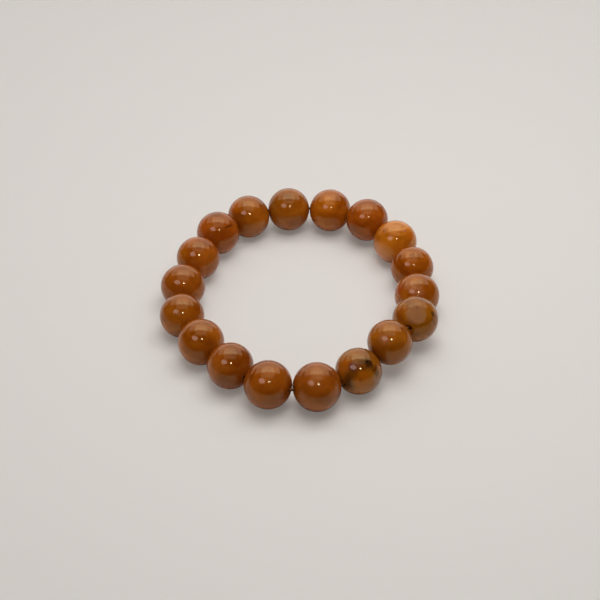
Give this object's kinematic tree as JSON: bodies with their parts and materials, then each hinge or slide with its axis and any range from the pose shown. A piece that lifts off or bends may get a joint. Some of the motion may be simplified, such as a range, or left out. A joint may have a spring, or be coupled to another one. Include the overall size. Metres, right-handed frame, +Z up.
{
  "type": "gemstone bead bracelet",
  "caption": "Stretch bracelet of round polished jasper beads on a closed loop of elastic cord, lying flat in a slightly uneven oval.",
  "frame": {"origin": "middle of the base of the bracelet's box, on the surface that it lies on", "axes": "+Z up, square to the ring; +Y towards the back of the oval, its longer way; +X to the right of a viewer at the front"},
  "size_m": [0.0746, 0.0846, 0.0143],
  "materials": {
    "caramel_jasper": "polished",
    "honey_jasper": "polished",
    "russet_jasper": "polished",
    "mottled_jasper": "polished",
    "elastic": "satin"
  },
  "bodies": {
    "root": {"bead_01": "caramel_jasper", "bead_02": "caramel_jasper", "bead_03": "caramel_jasper", "bead_04": "honey_jasper", "bead_05": "caramel_jasper", "bead_06": "russet_jasper", "bead_07": "mottled_jasper", "bead_08": "caramel_jasper", "bead_09": "mottled_jasper", "bead_10": "caramel_jasper", "bead_11": "caramel_jasper", "bead_12": "caramel_jasper", "bead_13": "caramel_jasper", "bead_14": "caramel_jasper", "bead_15": "caramel_jasper", "bead_16": "caramel_jasper", "bead_17": "caramel_jasper", "bead_18": "caramel_jasper", "elastic_cord": "elastic"}
  },
  "joints": []
}
